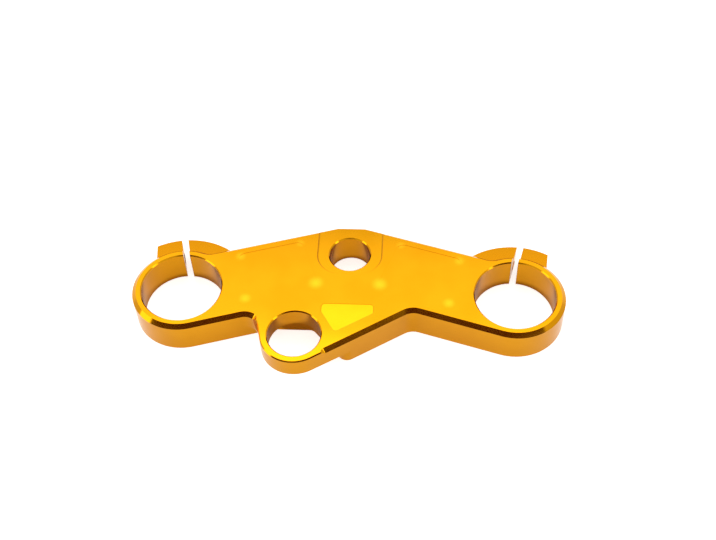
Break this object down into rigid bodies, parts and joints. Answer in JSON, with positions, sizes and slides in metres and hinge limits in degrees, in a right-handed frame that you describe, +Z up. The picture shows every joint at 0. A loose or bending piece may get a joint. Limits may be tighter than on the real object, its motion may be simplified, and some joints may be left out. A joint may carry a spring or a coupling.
{
  "type": "motorcycle triple clamp",
  "caption": "Flat machined yoke plate with split fork clamps, pinch ears, a stem bore and an offset ignition lock ring.",
  "frame": {"origin": "on the steering stem's axis, at the plate's underside", "axes": "+Z up along the stem, +X along the row of fork bores, +Y back to the rider, where the clamps are split"},
  "size_m": [0.2682, 0.106, 0.022],
  "materials": {
    "gold_anodised": "satin gold anodised"
  },
  "bodies": {
    "root": {"triple_clamp": "gold_anodised"}
  },
  "joints": []
}
